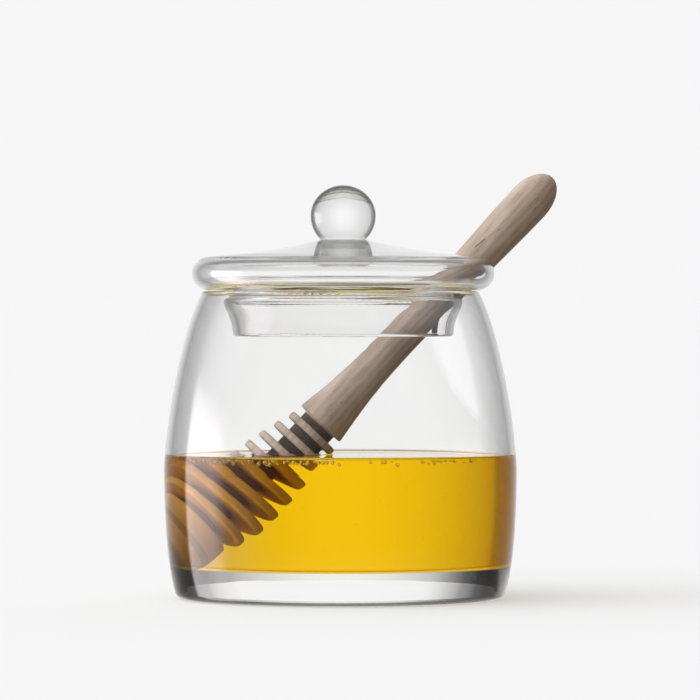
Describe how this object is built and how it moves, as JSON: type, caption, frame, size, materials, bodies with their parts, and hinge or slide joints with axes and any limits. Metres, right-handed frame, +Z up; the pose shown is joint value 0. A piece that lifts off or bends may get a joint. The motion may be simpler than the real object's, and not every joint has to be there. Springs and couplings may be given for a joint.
{
  "type": "honey pot",
  "caption": "Clear glass honey pot with a ball-knobbed glass lid, golden honey inside and a wooden dipper leaning out through the lid's slot.",
  "frame": {"origin": "centre of the jar's flat underside, on the jar's axis", "axes": "+Z up along the jar's axis; +X to the side that the dipper's handle leans out to; +Y to the back"},
  "size_m": [0.1182, 0.1058, 0.1274],
  "materials": {
    "jar_glass": "clear, polished",
    "lid_glass": "clear, fire-polished",
    "honey": "clear golden liquid, glossy",
    "dipper_wood": "bare, finely sanded"
  },
  "bodies": {
    "root": {"jar": "jar_glass", "lid": "lid_glass", "honey": "honey", "dipper": "dipper_wood"}
  },
  "joints": []
}
